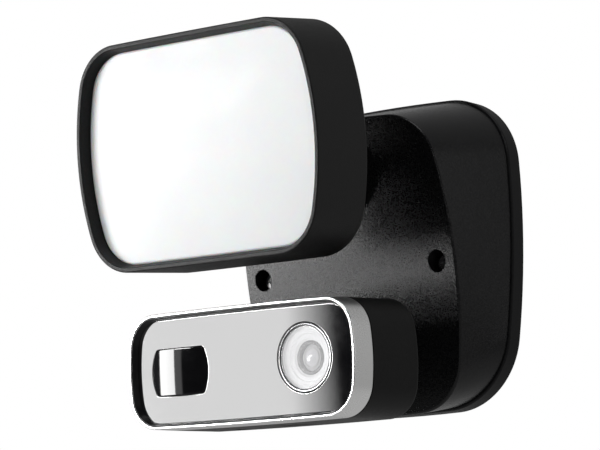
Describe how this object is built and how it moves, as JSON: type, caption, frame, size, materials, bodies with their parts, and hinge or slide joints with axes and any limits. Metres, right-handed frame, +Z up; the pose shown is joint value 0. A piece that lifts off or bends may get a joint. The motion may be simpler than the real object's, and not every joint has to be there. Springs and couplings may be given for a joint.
{
  "type": "floodlight security camera",
  "caption": "Wall box with a lamp head and a camera bar on ball joints; each head pans, tilts and rolls. Black, opal diffuser, silver bezel.",
  "frame": {"origin": "centre of the back plate where it meets the wall", "axes": "+X to the right seen from the front, +Y into the wall, +Z up; the heads face -Y"},
  "size_m": [0.1544, 0.1704, 0.1912],
  "materials": {
    "plate_black": "fine matt texture",
    "cover_black": "fine sparkle grain, satin",
    "lamp_black": "fine matt texture",
    "camera_black": "fine matt texture",
    "joint_black": "moulded, matt",
    "rubber": "matt",
    "flap_rubber": "matt",
    "black_steel": "black oxide",
    "zinc_steel": "zinc plated",
    "white_plastic": "matt white",
    "circuit_board": "solder mask",
    "ferrite": "ferrite and tape",
    "capacitor_sleeve": "shrink sleeve",
    "nylon": "natural nylon",
    "opal": "opal, satin",
    "led_board": "white solder mask on aluminium",
    "led_phosphor": "phosphor",
    "aluminium": "extruded",
    "satin_silver": "satin silver with a bright rim",
    "gloss_face": "mirror gloss black",
    "pir_gloss": "gloss black",
    "trim_black": "satin",
    "clear_window": "clear",
    "lens_grey": "satin grey",
    "lens_glass": "coated glass",
    "chip_black": "epoxy",
    "button_grey": "matt"
  },
  "bodies": {
    "wall_box": {"back_plate": "plate_black", "wall_gasket": "rubber", "cover_gasket": "rubber", "housing_cover": "cover_black", "cover_screws": "black_steel", "cable_grommet": "rubber", "terminal_block": "white_plastic", "terminal_screws": "zinc_steel", "power_board": "circuit_board", "power_board_screws": "zinc_steel", "power_transformer": "ferrite", "power_capacitors": "capacitor_sleeve", "lamp_arm": "joint_black", "lamp_arm_seal": "rubber", "lamp_arm_nut": "zinc_steel", "camera_arm": "joint_black", "camera_arm_seal": "rubber", "camera_arm_nut": "zinc_steel"},
    "lamp_liner": {"lamp_joint_liner": "nylon"},
    "lamp_ring": {"lamp_lock_ring": "joint_black"},
    "lamp_head": {"lamp_socket": "joint_black", "lamp_socket_screws": "black_steel", "lamp_shell": "lamp_black", "lamp_diffuser": "opal", "lamp_seal": "rubber", "lamp_reflector": "white_plastic", "lamp_led_board": "led_board", "lamp_leds": "led_phosphor", "lamp_heatsink": "aluminium", "lamp_board_screws": "zinc_steel"},
    "camera_liner": {"camera_joint_liner": "nylon"},
    "camera_ring": {"camera_lock_ring": "joint_black"},
    "camera_head": {"camera_socket": "joint_black", "camera_socket_screws": "black_steel", "camera_housing": "camera_black", "camera_bezel": "satin_silver", "camera_face": "gloss_face", "pir_lens": "pir_gloss", "lens_trim_ring": "trim_black", "lens_window": "clear_window", "camera_screws": "black_steel", "bezel_seal": "rubber", "pir_sensor": "zinc_steel", "lens_hood": "lens_grey", "lens_barrel": "trim_black", "lens_element": "lens_glass", "image_sensor": "chip_black", "camera_board": "circuit_board", "camera_board_screws": "zinc_steel", "processor_shield": "zinc_steel", "wifi_antenna": "circuit_board", "speaker": "chip_black", "speaker_mesh": "black_steel", "microphone": "zinc_steel", "card_socket": "zinc_steel", "reset_switch": "chip_black"},
    "flap": {"service_flap": "flap_rubber"},
    "button": {"reset_button": "button_grey"}
  },
  "joints": [
    {"name": "lamp_pan", "type": "hinge", "parent": "wall_box", "child": "lamp_liner", "pos_m": [0, -0.10297, 0.04447], "axis": [0, 0, 1], "range_deg": [-25, 25]},
    {"name": "lamp_tilt", "type": "hinge", "parent": "lamp_liner", "child": "lamp_ring", "pos_m": [0, -0.10297, 0.04447], "axis": [1, 0, 0], "range_deg": [-25, 6]},
    {"name": "lamp_roll", "type": "hinge", "parent": "lamp_ring", "child": "lamp_head", "pos_m": [0, -0.10297, 0.04447], "axis": [0, 0.9906, 0.1369], "range_deg": [-4, 4]},
    {"name": "camera_pan", "type": "hinge", "parent": "wall_box", "child": "camera_liner", "pos_m": [0, -0.06447, -0.06007], "axis": [0, 0, 1], "range_deg": [-20, 20]},
    {"name": "camera_tilt", "type": "hinge", "parent": "camera_liner", "child": "camera_ring", "pos_m": [0, -0.06447, -0.06007], "axis": [1, 0, 0], "range_deg": [-5, 15]},
    {"name": "camera_roll", "type": "hinge", "parent": "camera_ring", "child": "camera_head", "pos_m": [0, -0.06447, -0.06007], "axis": [0, 0.9974, 0.0715], "range_deg": [-4, 4]},
    {"name": "service_flap_hinge", "type": "hinge", "parent": "camera_head", "child": "flap", "pos_m": [0.008, -0.093, -0.09064], "axis": [1, 0, 0], "range_deg": [0, 95]},
    {"name": "reset_press", "type": "slide", "parent": "camera_head", "child": "button", "axis": [0, -0.0715, 0.9974], "range_m": [0, 0.0008], "stiffness_N_per_m": 300}
  ]
}
